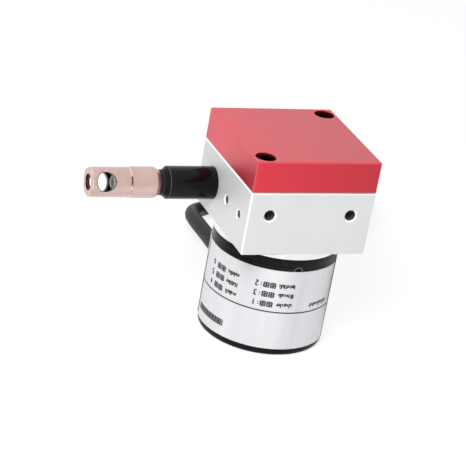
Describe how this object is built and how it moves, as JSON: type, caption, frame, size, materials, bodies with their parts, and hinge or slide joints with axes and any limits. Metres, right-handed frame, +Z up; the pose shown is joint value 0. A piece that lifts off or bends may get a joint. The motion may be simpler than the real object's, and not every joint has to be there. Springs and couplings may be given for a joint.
{
  "type": "draw wire encoder",
  "caption": "Compact draw wire encoder: square spring-wound wire drum housing with a side outlet and pull clip, flanged onto a round rotary encoder with a cable.",
  "frame": {"origin": "on the encoder's axis at its bottom face, which is also the drum's axis", "axes": "+Z up along the drum's and the encoder's axis, towards the lid; -X along the wire as it is pulled out; the face with the two larger tapped holes looks to -Y and the cable leaves to +Y"},
  "size_m": [0.13, 0.131, 0.0645],
  "materials": {
    "block_metal": "fine bead-blasted natural anodised aluminium with bright bevels",
    "lid_metal": "satin red anodised aluminium",
    "machined_metal": "turned natural aluminium",
    "black_metal": "satin black coated aluminium",
    "nozzle_black": "semi-gloss black",
    "label_film": "silvery white printed film, bare of names",
    "clip_metal": "turned metal with a light copper coloured coating",
    "steel": "plain steel",
    "bearing_steel": "ground bearing steel",
    "spring_steel": "blued spring strip",
    "black_steel": "blackened screw steel",
    "brass": "turned brass",
    "drum_plastic": "machined engineering plastic",
    "ceramic": "polished wire guide",
    "rubber": "soft black rubber",
    "board": "green circuit board",
    "chip": "moulded component",
    "clear": "clear",
    "cable_jacket": "dark grey cable jacket",
    "wire_insulation": "coloured core insulation"
  },
  "bodies": {
    "housing": {"block": "block_metal", "lid": "lid_metal", "lid_seal": "rubber", "lid_screws": "black_steel", "spring_plate": "machined_metal", "power_spring": "spring_steel", "spring_post": "steel", "adapter_flange": "machined_metal", "flange_screws": "steel", "wire_nozzle": "nozzle_black", "guide_eyelets": "ceramic", "bumper_ring": "rubber", "bearing_outer_rings": "bearing_steel", "bearing_balls": "bearing_steel", "bearing_spacer": "steel", "encoder_flange": "black_metal", "encoder_can": "black_metal", "can_screws": "steel", "label": "label_film", "circuit_board": "board", "board_parts": "chip", "board_pillars": "brass", "board_screws": "steel", "led_bracket": "chip", "led": "clear", "cable_gland": "rubber", "cable_tube": "cable_jacket", "cable_coil": "cable_jacket", "lead_ends": "wire_insulation"},
    "drum": {"drum": "drum_plastic", "wound_wire": "steel", "drum_grub_screw": "black_steel", "spring_arbor": "steel", "bearing_inner_rings": "bearing_steel", "encoder_shaft": "steel", "shaft_circlip": "black_steel", "disc_hub": "brass", "code_disc": "clear"},
    "wire_end": {"draw_wire": "steel", "wire_ferrule": "bearing_steel"},
    "clip": {"wire_clip": "clip_metal"}
  },
  "joints": [
    {"name": "wire_pull", "type": "slide", "parent": "housing", "child": "wire_end", "axis": [-1, 0, 0], "range_m": [0, 1], "stiffness_N_per_m": 2, "springref_m": -1.5, "deforming": ["draw_wire"]},
    {"name": "drum_spin", "type": "hinge", "parent": "housing", "child": "drum", "pos_m": [0, 0, 0.0445], "axis": [0, 0, 1], "range_deg": [0, 6366.2]},
    {"name": "clip_swivel", "type": "hinge", "parent": "wire_end", "child": "clip", "pos_m": [-0.048, 0.009, 0.0445], "axis": [-1, 0, 0], "continuous": true}
  ],
  "couplings": [
    {"joint": "drum_spin", "follows": "wire_pull", "rad_per_m": 111.11}
  ]
}
